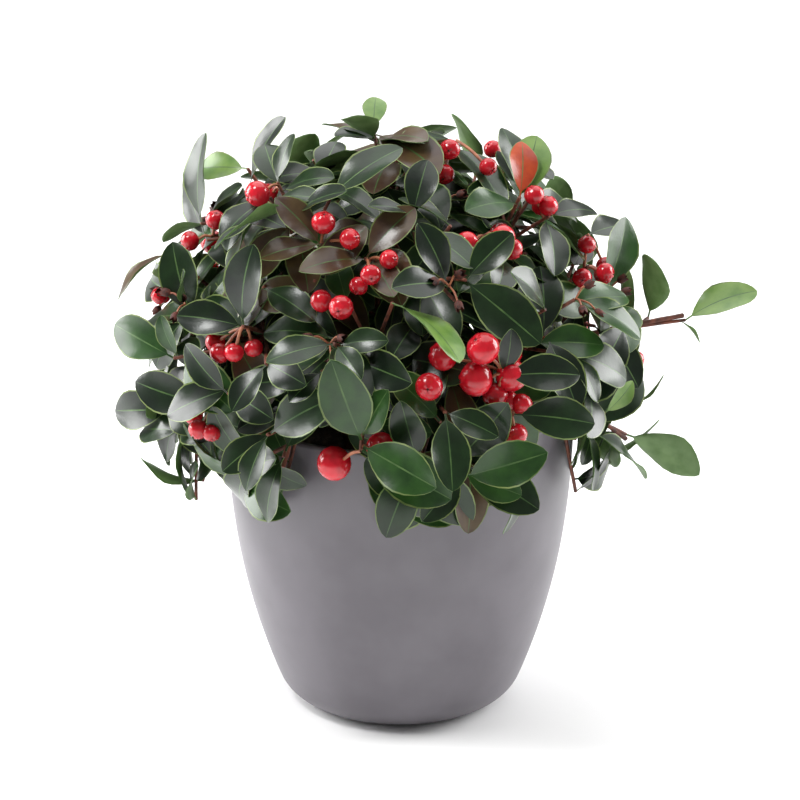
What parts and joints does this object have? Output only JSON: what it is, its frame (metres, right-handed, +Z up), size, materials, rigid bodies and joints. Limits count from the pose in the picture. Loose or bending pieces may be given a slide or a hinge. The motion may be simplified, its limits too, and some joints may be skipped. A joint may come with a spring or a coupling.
{
  "type": "potted big berry wintergreen",
  "caption": "Low evergreen shrub in a plain round tapered pot: a dome of small glossy oval leaves on thin stems, with large round berries hanging among them.",
  "frame": {"origin": "middle of the pot's flat underside, on the ground", "axes": "+Z up, +X to the right and +Y to the back of the plant as pictured"},
  "size_m": [0.2474, 0.2138, 0.2373],
  "materials": {
    "pot_glaze": "satin",
    "potting_soil": "matt",
    "twig_bark": "matt",
    "foliage": "gloss"
  },
  "bodies": {
    "root": {"pot": "pot_glaze", "soil": "potting_soil", "stem_top": "twig_bark", "stem_upper_1": "twig_bark", "stem_upper_2": "twig_bark", "stem_upper_3": "twig_bark", "stem_upper_4": "twig_bark", "stem_upper_5": "twig_bark", "stem_upper_6": "twig_bark", "stem_middle_1": "twig_bark", "stem_middle_2": "twig_bark", "stem_middle_3": "twig_bark", "stem_middle_4": "twig_bark", "stem_middle_5": "twig_bark", "stem_middle_6": "twig_bark", "stem_middle_7": "twig_bark", "stem_middle_8": "twig_bark", "stem_rim_1": "twig_bark", "stem_rim_2": "twig_bark", "stem_rim_3": "twig_bark", "stem_rim_4": "twig_bark", "stem_rim_5": "twig_bark", "stem_rim_6": "twig_bark", "stem_rim_7": "twig_bark", "stem_rim_8": "twig_bark", "stem_spray_high": "twig_bark", "stem_spray_low": "twig_bark", "foliage_top": "foliage", "foliage_upper_1": "foliage", "foliage_upper_2": "foliage", "foliage_upper_3": "foliage", "foliage_upper_4": "foliage", "foliage_upper_5": "foliage", "foliage_upper_6": "foliage", "foliage_middle_1": "foliage", "foliage_middle_2": "foliage", "foliage_middle_3": "foliage", "foliage_middle_4": "foliage", "foliage_middle_5": "foliage", "foliage_middle_6": "foliage", "foliage_middle_7": "foliage", "foliage_middle_8": "foliage", "foliage_rim_1": "foliage", "foliage_rim_2": "foliage", "foliage_rim_3": "foliage", "foliage_rim_4": "foliage", "foliage_rim_5": "foliage", "foliage_rim_6": "foliage", "foliage_rim_7": "foliage", "foliage_rim_8": "foliage", "foliage_spray_high": "foliage", "foliage_spray_low": "foliage"}
  },
  "joints": []
}
